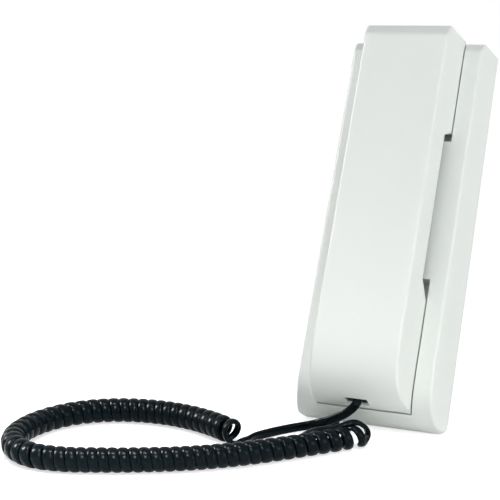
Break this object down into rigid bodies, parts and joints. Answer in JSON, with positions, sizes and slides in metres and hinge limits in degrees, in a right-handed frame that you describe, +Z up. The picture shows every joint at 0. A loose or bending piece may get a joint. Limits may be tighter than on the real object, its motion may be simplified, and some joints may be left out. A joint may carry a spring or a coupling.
{
  "type": "slimline wall phone",
  "caption": "Slim white wall phone: a handset lies in two pockets of a tapered wall base, joined by a black curly cord.",
  "frame": {"origin": "on the back plate's wall face, on the phone's middle line, 105 mm up from the base's lower edge", "axes": "+Z up as gravity, +Y back towards the wall or panel that the base leans on, +X to the right as one looks at the phone; the wall face leans back 24.8 degrees from upright, as in the picture"},
  "size_m": [0.2005, 0.223, 0.2086],
  "materials": {
    "shell_white": "satin moulded",
    "inner_white": "fine matt",
    "clear_plastic": "polished, smoky clear",
    "cord_black": "glossy soft jacket",
    "dark_plastic": "moulded",
    "steel": "zinc plated",
    "board_green": "lacquered",
    "rubber_grey": "soft"
  },
  "bodies": {
    "base": {"base_cover": "shell_white", "back_plate": "inner_white", "cover_screw_1": "steel", "cover_screw_2": "steel", "cover_screw_3": "steel", "cover_screw_4": "steel", "circuit_board": "board_green", "terminal_block": "board_green", "sounder": "dark_plastic", "hook_switch": "dark_plastic", "hook_spring": "steel", "button_switch": "dark_plastic", "button_spring": "steel", "cord_bushing": "dark_plastic", "base_lead": "cord_black", "cord_coil": "cord_black", "handset_lead": "cord_black"},
    "handset": {"handset_front": "shell_white", "handset_back": "shell_white", "handset_screw_1": "steel", "handset_screw_2": "steel", "receiver_gasket": "rubber_grey", "receiver_capsule": "dark_plastic", "microphone_boot": "rubber_grey", "microphone": "steel", "weight_plate": "steel", "handset_jack": "dark_plastic", "handset_plug": "clear_plastic"},
    "plunger": {"hook_plunger": "inner_white"},
    "button": {"call_button": "inner_white"}
  },
  "joints": [
    {"name": "handset_lift", "type": "slide", "parent": "base", "child": "handset", "axis": [0, -0.9003, 0.4352], "range_m": [0, 0.05]},
    {"name": "hook_plunger_slide", "type": "slide", "parent": "base", "child": "plunger", "axis": [0, -0.9003, 0.4352], "range_m": [0, 0.0035], "deforming": ["hook_spring"]},
    {"name": "call_button_press", "type": "slide", "parent": "base", "child": "button", "axis": [0, 0.9003, -0.4352], "range_m": [0, 0.0014], "stiffness_N_per_m": 250, "deforming": ["button_spring"]}
  ],
  "couplings": [
    {"joint": "hook_plunger_slide", "follows": "handset_lift", "ratio": 0.0699}
  ]
}
